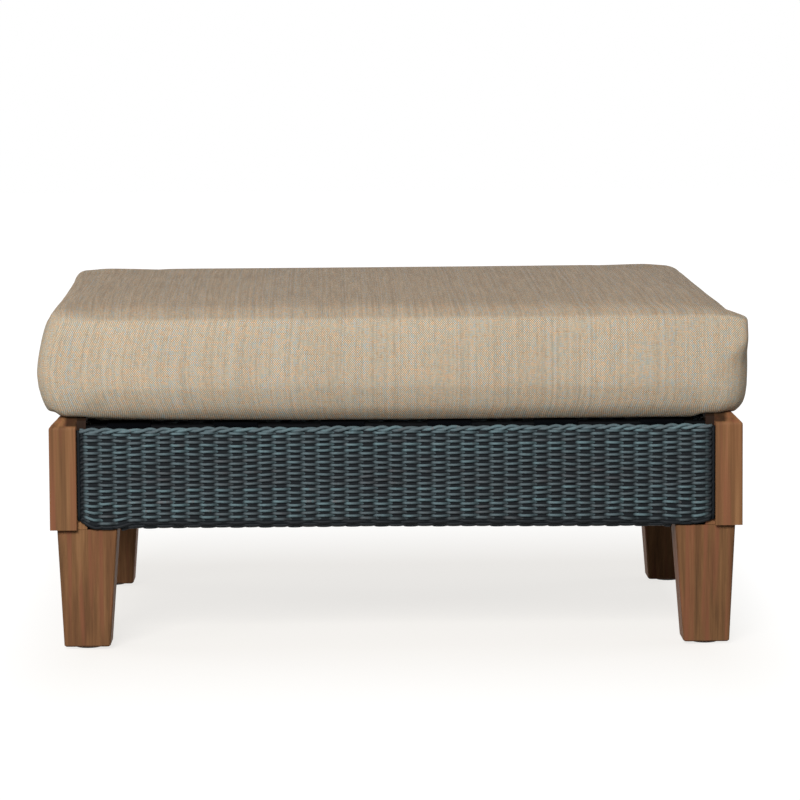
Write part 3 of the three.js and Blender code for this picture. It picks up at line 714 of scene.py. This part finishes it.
def strap(name, length, crossings, turn, offset):
    """A strap of the deck: over the frame, round both rails and sewn back on itself."""
    rail_out = length / 2 - RAIL_SETBACK
    half_width, clear = STRAP_WIDTH / 2, FIT + STRAP_THICKNESS / 2
    top, bottom = TOP_RAIL_TOP + clear, TOP_RAIL_TOP - RAIL_SIZE - clear
    outside, inside = rail_out + clear, rail_out - RAIL_SIZE - clear
    sewn = top - STRAP_THICKNESS * SEWN_SHARE
    tail = inside - STRAP_TAIL
    loop = [(tail, sewn), (inside, sewn), (inside, bottom), (outside, bottom), (outside, top)]
    between = []
    for at, way in crossings:
        level = top + way * STRAP_LIFT
        start, end = at - half_width, at + half_width
        between += [(start - STRAP_RAMP, top), (start, level), (end, level), (end + STRAP_RAMP, top)]
    path = rounded([(-x, z) for x, z in loop] + between + loop[::-1], STRAP_TURN)
    ahead = unit(np.gradient(path, axis=0))
    normal = np.stack([-ahead[:, 1], ahead[:, 0]], -1)
    # The strap is flat, with thin edges
    edge = np.array([-1, -0.985, -0.96, -0.6, -0.2, 0.2, 0.6, 0.96, 0.985, 1]) * half_width
    skin = np.array([0.35, 0.8, 1, 1, 1, 1, 1, 1, 0.8, 0.35]) * STRAP_THICKNESS / 2
    wide = np.concatenate([edge, edge[::-1]])
    raised = np.concatenate([skin, -skin[::-1]])
    place = path[:, None, :] + raised[None, :, None] * normal[:, None, :]
    cos, sin = math.cos(turn), math.sin(turn)
    x, y, z = place[..., 0], np.broadcast_to(wide, place.shape[:2]), place[..., 1]
    points = np.stack([x * cos - y * sin + offset[0], x * sin + y * cos + offset[1], z], -1)
    rows, around = points.shape[:2]
    quads = []
    for start in range(0, (rows - 1) * around, around):
        for k in range(around):
            n = (k + 1) % around
            quads.append([start + k, start + n, start + around + n, start + around + k])
    quads += [list(range(around))[::-1], list(range((rows - 1) * around, rows * around))]
    values = {"along": np.repeat(distances(path), around), "across": np.tile(wide * MM, rows)}
    piece = put(f"{name}_webbing", points.reshape(-1, 3), quads, webbing, "frame", values)
    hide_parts(name)


def rounded(line, radius):
    """A line of points with each of its turns eased, as an array of more points."""
    line = np.asarray(line, float)
    points = [line[0]]
    for before, corner, after in zip(line, line[1:], line[2:]):
        back, ahead = before - corner, after - corner
        reach = min(radius, 0.45 * np.linalg.norm(back), 0.45 * np.linalg.norm(ahead))
        start, end = corner + unit(back) * reach, corner + unit(ahead) * reach
        for t in (0.0, 0.25, 0.5, 0.75, 1.0):
            points.append((1 - t) ** 2 * start + 2 * t * (1 - t) * corner + t * t * end)
    points.append(line[-1])
    return np.array(points)


def strap_places(count, length):
    """Where the middles of one set of straps lie between the rails."""
    pitch = (length - 2 * (RAIL_SETBACK + RAIL_SIZE)) / count
    return [(i - (count - 1) / 2) * pitch for i in range(count)]


def deck():
    """The straps, interlaced: at each crossing one set lies over and the other under."""
    cross, long = strap_places(CROSS_STRAPS, FRAME_X), strap_places(LONG_STRAPS, FRAME_Y)
    for i, at in enumerate(cross):
        crossings = [(y, (-1) ** (i + j)) for j, y in enumerate(long)]
        strap(f"cross_strap_{i + 1}", FRAME_Y, crossings, math.pi / 2, (at, 0))
    for j, at in enumerate(long):
        crossings = [(x, -((-1) ** (i + j))) for i, x in enumerate(cross)]
        strap(f"long_strap_{j + 1}", FRAME_X, crossings, 0.0, (0, at))


# Cushion, in millimetres. It lies a little askew, so its ends differ as in the photograph. In its
# tables u runs from -1 at the left end to 1 at the right, v from -1 at the front to 1 at the back,
# and w from 0 at the bottom to 1 at the seam.

EDGE_STEPS = np.array([0, 2.2, 5.0, 9.0, 14.0, 20.0, 27.0])
LATTICE = 9.5

# How far each face stands out from the middle, and along w how far its foot is tucked in
LEFT_REACH, RIGHT_REACH, END_REACH = [(-1, 408.5), (1, 409)], [(-1, 402), (1, 394)], 302.5
LEFT_TUCK = [(0, 24), (0.07, 15.5), (0.13, 10.5), (0.19, 7.5), (0.235, 5.5), (0.35, 2), (0.5, 0)]
RIGHT_TUCK = [(0, 19), (0.03, 14), (0.066, 9.5), (0.1, 5.5), (0.142, 3), (0.19, 1.2), (0.3, 0)]
END_TUCK = [
    (0, 26), (0.02, 21.5), (0.04, 17), (0.065, 12.8), (0.09, 9.3), (0.134, 5.4), (0.227, 1.7),
    (0.33, 0.3), (0.42, 0),
]

# The corners' radius in plan. The front right one is wider below and, over these places on w,
# narrows to an ear, which droops.
CORNER_RADIUS, EAR_WIDER, EAR_NARROWS, EAR_SPAN = 24.0, 12.0, 25.0, (0.5, 0.8)
EAR_DROOP, EAR_DROOP_SPAN, EAR_LENGTH = 4.0, (0.6, 1.0), 16.0

# Along v, how far each end is drawn in at the seam, from DRAW_START on w and as these powers. The
# front and back are drawn in alike, and are a little hollow in the middle.
DRAW_START, DRAW_POWER, RIGHT_DRAW_POWER = 0.42, 1.8, 3
FRONT_DRAW, FRONT_HOLLOW = 6.5, 2.5
LEFT_DRAW = [(-1, 14), (-0.5, 10), (0.15, 7.5), (0.9, 4), (1, 4.5)]
RIGHT_DRAW = [(-1, 0), (-0.955, 1.5), (-0.88, 15), (-0.3, 16), (0.25, 15), (0.7, 13), (1, 13)]

# Along v, the length in which the top rises from each end. From the back it rises in BACK_ROUND.
LEFT_ROUND = [(-1, 9.5), (-0.3, 8.5), (0.5, 6.0), (1, 4.5)]
RIGHT_ROUND = [(-1, 30), (-0.9, 14), (-0.6, 8.5), (0, 8), (1, 7.5)]
BACK_ROUND = 5.0

# The rise from the front, as heights and the lengths they settle in: a quick roll and a long
# slope, and at the left end, over PLUMP_SPAN, a plumper roll
FRONT_ROLL, FRONT_SLOPE, PLUMP_ROLL, PLUMP_SPAN = (9.0, 16.0), (16.5, 230.0), (24.0, 9.0), (-40, 60)

# How sharp the crown's blend is, how much higher its right end is, and how the bottom bellies down
CROWN_BLEND, CROWN_TILT, BELLY = 2.5, 0.6, (3.0, 12.0)

# Along x, how high the front lower edge and the left lower edge lie above the deck
FRONT_FOOT = [
    (-386, 14.2), (-381, 8), (-364, 6.8), (-342, 5.5), (-319, 4.2), (-222, 1.8), (-110, 0.5), (0, 0),
    (334, 0.8), (377, 1.5), (383, 6), (392, 15),
]
LEFT_FOOT = [(-396, 13), (-387, 11), (-382, 4), (-379, 0)]

# Where along x and y the cushion rises on to a post and the post's bevel begins, how far over the
# post it lies, and where along y the front edge is raised
POST_RISE_X, POST_RISE_Y, BEVEL_X, BEVEL_Y = (341, 352), (239, 250), 381.5, 279.5
OVER_POST = 0.5
FRONT_FOOT_SPAN = (-255, -282)
UNDERSIDE = 300  # points below this height are held up by what lies under them

# The cloth under pressure: how far a point may swell, how many frames it is given, and the
# distance from the edges in which it comes to count
SWELL_CAP, SWELL_FRAMES, SWELL_EDGE = 3.0, 20, 70

# How far the seam is drawn in, and towards what place, with a weight for each direction
SEAM_DRAW, SEAM_TOWARDS, SEAM_WEIGHTS = 1.2, np.array([0, 0, 330.0]), np.array([1, 1.4, 2.2])

# The zip's placket: how far back it lies, half its height inside and at its lips, and the rows of
# points about its middle and over it
PLACKET_BACK = 298.2
PLACKET_INNER, PLACKET_OUTER = 5.6, 8.4
PLACKET_ROWS = np.array([-11, -8.6, -7.2, -5.4, 0, 5.4, 7.2, 8.6, 11])
UPPER_ROWS = [66.0, 74.0, 82.0]


def graded(half, step):
    """Places from -half to half, close together at both ends."""
    inner = half - 35.0
    middle = np.linspace(-inner, inner, round(2 * inner / step) + 1)
    return np.concatenate([-half + EDGE_STEPS, middle, half - EDGE_STEPS[::-1]])


def box_skin(xs, ys, zs):
    """Quads over a box's six sides, with the lattice place of each point."""
    nx, ny, nz = len(xs), len(ys), len(zs)
    on_skin = np.zeros((nx, ny, nz), bool)
    on_skin[[0, -1]] = on_skin[:, [0, -1]] = on_skin[:, :, [0, -1]] = True
    cells = np.argwhere(on_skin)
    number = -np.ones((nx, ny, nz), int)
    number[tuple(cells.T)] = np.arange(len(cells))
    quads = []
    for grid, flip, axes in (
        (number[:, :, -1], False, (0, 1)), (number[:, :, 0], True, (0, 1)),
        (number[:, 0, :], False, (0, 2)), (number[:, -1, :], True, (0, 2)),
        (number[0, :, :], True, (1, 2)), (number[-1, :, :], False, (1, 2)),
    ):
        a, b, c, d = grid[:-1, :-1], grid[1:, :-1], grid[1:, 1:], grid[:-1, 1:]
        order = (a, d, c, b) if flip else (a, b, c, d)
        quads.append((np.stack(order, -1).reshape(-1, 4), axes))
    points = np.stack([xs[cells[:, 0]], ys[cells[:, 1]], zs[cells[:, 2]]], -1)
    return points, cells, quads


def settled(distance, height, length):
    """A height that is reached quickly at first and then slowly, in lengths of a distance."""
    return height * (1 - np.exp(-distance / length))


def soft_box(flat, half_x, half_y, height, top, bottom):
    """The cushion's cut form: rounded in plan, tucked in below, drawn in to the seam above."""
    x, y, z = flat.T
    u, v, w = x / half_x, y / half_y, z / height
    front_right = (u > 0) * (v < 0)
    radius = CORNER_RADIUS + (EAR_WIDER - EAR_NARROWS * smoothstep(*EAR_SPAN, w)) * front_right
    qx = np.clip((np.abs(x) - (half_x - radius)) / radius, 0, 1)
    qy = np.clip((np.abs(y) - (half_y - radius)) / radius, 0, 1)
    pull = np.maximum(qx, qy) / np.maximum(np.hypot(qx, qy), 1e-9)
    x = np.where((qx > 0) & (qy > 0), np.sign(x) * (half_x - radius + radius * qx * pull), x)
    y = np.where((qx > 0) & (qy > 0), np.sign(y) * (half_y - radius + radius * qy * pull), y)

    above = np.clip((w - DRAW_START) / (1 - DRAW_START), 0, 1)
    drawn, right_drawn = above**DRAW_POWER, above**RIGHT_DRAW_POWER
    left = curve(v, LEFT_REACH) - curve(w, LEFT_TUCK) - drawn * curve(v, LEFT_DRAW)
    right = curve(v, RIGHT_REACH) - curve(w, RIGHT_TUCK) - right_drawn * curve(v, RIGHT_DRAW)
    ends = END_REACH - curve(w, END_TUCK) - FRONT_DRAW * drawn - FRONT_HOLLOW * (1 - np.abs(u) ** 6)
    x = x / half_x * np.where(x < 0, left, right)
    y = y / half_y * ends

    # The crown rises from the ends and the back by a blend of both distances, in rounding lengths.
    # In the front half the rise from the front takes the back's place.
    ex, ey = (1 - np.abs(u)) * half_x, (1 - np.abs(v)) * half_y
    far = 30.0
    a = ex / np.where(u < 0, curve(v, LEFT_ROUND), curve(v, RIGHT_ROUND))
    b = np.where(v < 0, far, ey / BACK_ROUND)
    near = -np.log(np.exp(-CROWN_BLEND * a) + np.exp(-CROWN_BLEND * b) + 1e-12) / CROWN_BLEND
    near = np.clip(near + math.log(2) / CROWN_BLEND * np.exp(-np.maximum(a, b)), 0, None)
    from_front = (1 + v) * half_y
    slope = settled(from_front, *FRONT_ROLL) + settled(from_front, *FRONT_SLOPE)
    plump = settled(from_front, *PLUMP_ROLL)
    loose = np.where(u < 0, smoothstep(*PLUMP_SPAN, ex), 1.0)
    crown = (CROWN_TILT * u + slope * loose + plump * (1 - loose)) * (1 - np.exp(-near))
    ear = np.exp(-((ex / EAR_LENGTH) ** 2) - (ey / EAR_LENGTH) ** 2) * front_right
    belly = settled(np.minimum(ex, ey), *BELLY)
    z = z - EAR_DROOP * ear * smoothstep(*EAR_DROOP_SPAN, w)
    z = z + np.where(top, crown, 0) - np.where(bottom, belly, 0)
    return np.stack([x, y, z], -1)


def blown_up(points, faces, held, frames):
    """Where Blender's cloth takes a closed skin under pressure. held points stay."""
    mesh = bpy.data.meshes.new("skin")
    mesh.from_pydata((points * MM).tolist(), [], faces)
    skin = bpy.data.objects.new("skin", mesh)
    bpy.context.scene.collection.objects.link(skin)
    skin.vertex_groups.new(name="seam").add(np.flatnonzero(held).tolist(), 1.0, "REPLACE")
    cloth = skin.modifiers.new("cloth", "CLOTH").settings
    cloth.use_pressure = True
    cloth.uniform_pressure_force = 4.0
    cloth.effector_weights.gravity = 0.0
    cloth.vertex_group_mass = "seam"
    scene = bpy.context.scene
    scene.frame_start, scene.frame_end = 1, frames
    for number in range(1, frames + 1):
        scene.frame_set(number)
    result = skin.evaluated_get(bpy.context.evaluated_depsgraph_get())
    coords = np.empty(len(points) * 3, np.float32)
    result.data.vertices.foreach_get("co", coords)
    scene.frame_set(1)
    bpy.data.objects.remove(skin)
    bpy.data.meshes.remove(mesh)
    return coords.reshape(-1, 3).astype(float) / MM


def rest_height(x, y):
    """The lowest that the cushion may lie: on the deck, over the posts, on its own raised edges."""
    over_post = smoothstep(*POST_RISE_X, np.abs(x)) * smoothstep(*POST_RISE_Y, np.abs(y))
    bevel = np.maximum(np.maximum(np.abs(x) - BEVEL_X, np.abs(y) - BEVEL_Y), 0)
    post = (POST_TOP + OVER_POST - CUSHION_BOTTOM - bevel) * over_post
    front = curve(x, FRONT_FOOT) * smoothstep(*FRONT_FOOT_SPAN, y)
    left = curve(x, LEFT_FOOT)
    return CUSHION_BOTTOM + FIT + np.maximum(np.maximum(post, left), front)


def make_cushion():
    """The boxed cushion: cut, blown up, laid on the frame, then seam and placket."""
    half_x, half_y, height = CUSHION_X / 2, CUSHION_Y / 2, SEAM_HEIGHT - CUSHION_BOTTOM
    middle = ZIP_HEIGHT - CUSHION_BOTTOM
    zs = np.concatenate([EDGE_STEPS, middle + PLACKET_ROWS, UPPER_ROWS, height - EDGE_STEPS[::-1]])
    xs, ys = graded(half_x, LATTICE), graded(half_y, LATTICE)
    flat, cells, quads = box_skin(xs, ys, zs)
    last = np.array([len(xs), len(ys), len(zs)]) - 1
    rim = ((cells[:, :2] == 0) | (cells[:, :2] == last[:2])).any(1)
    top, bottom = cells[:, 2] == last[2], cells[:, 2] == 0
    points = soft_box(flat, half_x, half_y, height, top, bottom)
    points[:, 2] += CUSHION_BOTTOM
    faces = np.concatenate([block for block, _ in quads]).tolist()
    move = blown_up(points, faces, rim & (top | bottom), SWELL_FRAMES) - points
    free_x = smoothstep(0, SWELL_EDGE, half_x - np.abs(flat[:, 0]))
    free_y = smoothstep(0, SWELL_EDGE, half_y - np.abs(flat[:, 1]))
    move *= (free_x + free_y - free_x * free_y)[:, None]
    size = np.linalg.norm(move, axis=1, keepdims=True)
    capped = SWELL_CAP * np.tanh(size / SWELL_CAP)
    points = points + move * (capped / np.maximum(size, 1e-6))
    x, y, z = points.T
    points[:, 2] = np.where(z < UNDERSIDE, np.maximum(z, rest_height(x, y)), z)

    # Seam round the top of the boxing
    seam = rim & top
    inward = unit((SEAM_TOWARDS - points) * SEAM_WEIGHTS)
    points[seam] += inward[seam] * SEAM_DRAW

    # A placket that opens the back for the zip
    x, y, z = points.T
    open_height = smoothstep(PLACKET_OUTER, PLACKET_INNER, np.abs(z - ZIP_HEIGHT))
    slot = open_height * smoothstep(ZIP_HALF + 8, ZIP_HALF - 1, np.abs(x))
    points[:, 1] = np.where(cells[:, 1] == last[1], y + (PLACKET_BACK - y) * slot, y)
    cushion = put("cushion_with_cover", points, faces, fabric, "cushion")
    laid = np.concatenate([flat[block][..., list(axes)].reshape(-1, 2) for block, axes in quads])
    layer = cushion.data.uv_layers.new(name="cloth")
    layer.data.foreach_set("uv", (laid * MM).astype(np.float32).ravel())
    smooth(cushion)
    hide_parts("cushion_cover", "cushion_core")


def smooth(piece):
    """One level of subdivision, applied."""
    modifier = piece.modifiers.new("smooth", "SUBSURF")
    modifier.levels = modifier.render_levels = 1
    bpy.context.view_layer.objects.active = piece
    piece.select_set(True)
    bpy.ops.object.modifier_apply(modifier=modifier.name)
    piece.select_set(False)


# Camera, floor and light, in metres

PHOTO_WIDTH = 800
FOCAL_LENGTH = 3871  # in the photograph's pixels
SENSOR_WIDTH = 36
CAMERA_PLACE = (-0.065, -4.670, 0.7082)
CAMERA_ANGLES = (-0.91, 5.51, -0.36)  # yaw, pitch and roll in degrees

# Pale paper by the ottoman turns to white over FADE, outside a square round SHADOW_MIDDLE, sooner
# to the sides. GLOW_SHARE of its light is its own glow, so that the shadow on it stays faint.
FLOOR_SIZE = 6.0
SHADOW_MIDDLE, SHADOW_HALF, FADE = (0.0, 0.07, 0.0), (0.34, 0.34, 0.0), 0.35
FADE_RATES, GLOW, GLOW_SHARE = (2.2, 0.6, 1.0), 1.06, 0.74

WORLD_LEVEL = 0.16
LAMP_AIM = (0, 0, 0.25)
# Each lamp's place, size and power
LAMPS = {
    "key": ((-1.1, -4.85, 2.7), (2.0, 1.6), 280),
    "fill": ((-3.5, -3.2, 1.6), (1.5, 1.2), 29),
    "rear": ((0.9, 4.9, 0.95), (2.2, 0.9), 30),
    "rear_left": ((-4.5, 1.9, 0.9), (1.8, 0.9), 38),
    "rear_right": ((4.5, 1.9, 0.9), (1.8, 0.9), 38),
}


def stand(thing, place, right, up, ahead):
    """Links a camera or lamp and turns it to look ahead from its place."""
    bpy.context.scene.collection.objects.link(thing)
    basis = Matrix([[*row] for row in np.stack([right, up, -ahead], 1)]).to_4x4()
    thing.matrix_world = Matrix.Translation(place) @ basis


def camera():
    """The photograph's viewpoint, fitted to the frame's corners."""
    yaw, pitch, roll = (math.radians(angle) for angle in CAMERA_ANGLES)
    flat = math.cos(pitch)
    ahead = np.array([-math.sin(yaw) * flat, math.cos(yaw) * flat, -math.sin(pitch)])
    level = np.array([math.cos(yaw), math.sin(yaw), 0.0])
    upright = np.cross(level, ahead)
    right = level * math.cos(roll) + upright * math.sin(roll)
    up = upright * math.cos(roll) - level * math.sin(roll)
    data = bpy.data.cameras.new("camera")
    data.lens = FOCAL_LENGTH / PHOTO_WIDTH * SENSOR_WIDTH
    data.sensor_width = SENSOR_WIDTH
    seen = bpy.data.objects.new("camera", data)
    stand(seen, CAMERA_PLACE, right, up, ahead)
    bpy.context.scene.camera = seen


def floor():
    """A pale floor: the camera sees it nearly white with the object's soft shadow."""
    s = Shader("floor_paper", roughness=0.95, specular_ior_level=0.1)
    where = s.object_coords()
    grain = s.noise(where, 260.0, 2.0)
    path = s.add("ShaderNodeLightPath").outputs
    mirrored = s.math("MAXIMUM", path["Is Glossy Ray"], path["Is Transmission Ray"])
    seen = s.math("MAXIMUM", path["Is Camera Ray"], mirrored)
    pale = s.ramp(s.span(grain, 0.3, 0.7), [(0.0, (243, 237, 230)), (1.0, (246, 241, 234))])
    s.finish(base_color=s.mix(seen, linear((118, 117, 115)), pale))
    from_middle = s.vector_math("ABSOLUTE", s.vector_math("SUBTRACT", where, SHADOW_MIDDLE))
    outside = s.vector_math("MAXIMUM", s.vector_math("SUBTRACT", from_middle, SHADOW_HALF))
    distance = s.vector_math("LENGTH", s.vector_math("MULTIPLY", outside, FADE_RATES))
    away = s.span(distance, 0.0, FADE)
    # Painted warmth: the glow is a little warm by the ottoman, to warm the shadow there
    white = s.ramp(away, [(0.0, (253, 251, 248)), (1.0, (255, 255, 255))])
    glow = s.add("ShaderNodeEmission", color=white, strength=GLOW)
    mixed = s.add("ShaderNodeMixShader")
    share = s.times(seen, s.span(away, 0.0, 1.0, GLOW_SHARE, 1.0))
    for socket, value in zip(mixed.inputs, (share, s.surface.outputs[0], glow.outputs[0])):
        s.tree.links.new(value, socket)
    s.tree.links.new(mixed.outputs[0], s.output.inputs[0])
    mesh = bpy.data.meshes.new("floor")
    far = 2 * FLOOR_SIZE
    edges = [(-FLOOR_SIZE, -FLOOR_SIZE), (FLOOR_SIZE, -FLOOR_SIZE), (FLOOR_SIZE, far), (-FLOOR_SIZE, far)]
    mesh.from_pydata([(x, y, 0) for x, y in edges], [], [(0, 1, 2, 3)])
    mesh.materials.append(s.material)
    ground = bpy.data.objects.new("floor", mesh)
    bpy.context.scene.collection.objects.link(ground)


def studio():
    """Even light from all round, seen as white."""
    sky = bpy.data.worlds.new("studio")
    bpy.context.scene.world = sky
    sky.use_nodes = True
    tree = sky.node_tree
    tree.nodes.clear()
    path = tree.nodes.new("ShaderNodeLightPath")
    seen = path.outputs["Is Camera Ray"]
    for kind in ("Is Glossy Ray", "Is Transmission Ray"):
        either = tree.nodes.new("ShaderNodeMath")
        either.operation = "MAXIMUM"
        tree.links.new(seen, either.inputs[0])
        tree.links.new(path.outputs[kind], either.inputs[1])
        seen = either.outputs[0]
    lit = tree.nodes.new("ShaderNodeBackground")
    lit.inputs["Strength"].default_value = WORLD_LEVEL
    white = tree.nodes.new("ShaderNodeBackground")
    mix = tree.nodes.new("ShaderNodeMixShader")
    out = tree.nodes.new("ShaderNodeOutputWorld")
    white.inputs["Color"].default_value = (1, 1, 1, 1)
    tree.links.new(seen, mix.inputs[0])
    tree.links.new(lit.outputs[0], mix.inputs[1])
    tree.links.new(white.outputs[0], mix.inputs[2])
    tree.links.new(mix.outputs[0], out.inputs[0])


def lamp(name, place, size, power):
    """A soft rectangular lamp that isn't seen itself."""
    data = bpy.data.lights.new(name, "AREA")
    data.shape = "RECTANGLE"
    data.size, data.size_y = size
    data.energy = power
    light = bpy.data.objects.new(name, data)
    light.visible_camera = False
    ahead = unit(np.subtract(LAMP_AIM, place))
    right = unit(np.cross(ahead, [0, 0, 1.0]))
    stand(light, place, right, np.cross(right, ahead), ahead)


wicker = strand_material("wicker_strand", 0.1)
stake = strand_material("wicker_stake", 0.05)
fabric = fabric_material()
webbing = webbing_material()
finishes = {
    "teak": teak_material("teak"), "weave": wicker, "rail": coated_material(), "steel": steel_material(),
    "strap": webbing, "glide": nylon_material(), "cover": fabric, "core": foam_material(),
    "zip": zip_material(),
}
for part in frame["record"]["subparts"]:
    node = frame["nodes"][part["node"]]
    node.data.materials.clear()
    node.data.materials.append(finishes[part["material_slot"]])

for seed, side_name in enumerate(SIDES, 11):
    weave(side_name, seed)
deck()
make_cushion()
camera()
floor()
studio()
for lamp_name, (place, size, power) in LAMPS.items():
    lamp(lamp_name, place, size, power)

bpy.context.scene.view_settings.view_transform = "Standard"
